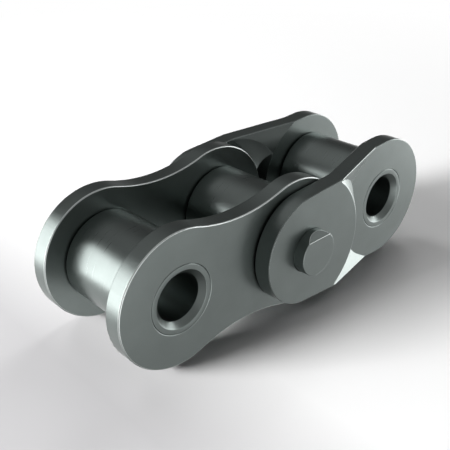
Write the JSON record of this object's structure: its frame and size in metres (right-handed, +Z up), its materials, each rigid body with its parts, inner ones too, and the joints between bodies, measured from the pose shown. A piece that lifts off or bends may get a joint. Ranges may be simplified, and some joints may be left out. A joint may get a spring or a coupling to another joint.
{
  "type": "offset roller chain link",
  "caption": "Cranked connecting link for a roller chain: a straight roller half and a cranked offset half that swing about a pin.",
  "frame": {"origin": "on the axis of the bushing at the free end of the straight half, midway between the plates", "axes": "+X along the chain from the straight end to the cranked end, +Y along the bushing axes away from the pin's slanted end, +Z up across the plates"},
  "size_m": [0.0744, 0.034, 0.0236],
  "materials": {
    "plate_steel": "satin, dark grey",
    "bushing_steel": "satin, dark grey",
    "roller_steel": "satin, turned",
    "pin_steel": "satin, turned"
  },
  "bodies": {
    "inner_link": {"inner_plate_near": "plate_steel", "inner_plate_far": "plate_steel", "bushing_end": "bushing_steel", "bushing_middle": "bushing_steel"},
    "end_roller": {"roller_end": "roller_steel"},
    "middle_roller": {"roller_middle": "roller_steel"},
    "offset_link": {"offset_plate_near": "plate_steel", "offset_plate_far": "plate_steel", "pin": "pin_steel", "bushing_offset": "bushing_steel"},
    "offset_roller": {"roller_offset": "roller_steel"}
  },
  "joints": [
    {"name": "link_pivot", "type": "hinge", "parent": "inner_link", "child": "offset_link", "pos_m": [0.0254, 0, 0], "axis": [0, 1, 0], "range_deg": [-83, 83]},
    {"name": "end_roller_spin", "type": "hinge", "parent": "inner_link", "child": "end_roller", "pos_m": [0, 0, 0], "axis": [0, 1, 0], "continuous": true},
    {"name": "middle_roller_spin", "type": "hinge", "parent": "inner_link", "child": "middle_roller", "pos_m": [0.0254, 0, 0], "axis": [0, 1, 0], "continuous": true},
    {"name": "offset_roller_spin", "type": "hinge", "parent": "offset_link", "child": "offset_roller", "pos_m": [0.0508, 0, 0], "axis": [0, 1, 0], "continuous": true}
  ]
}
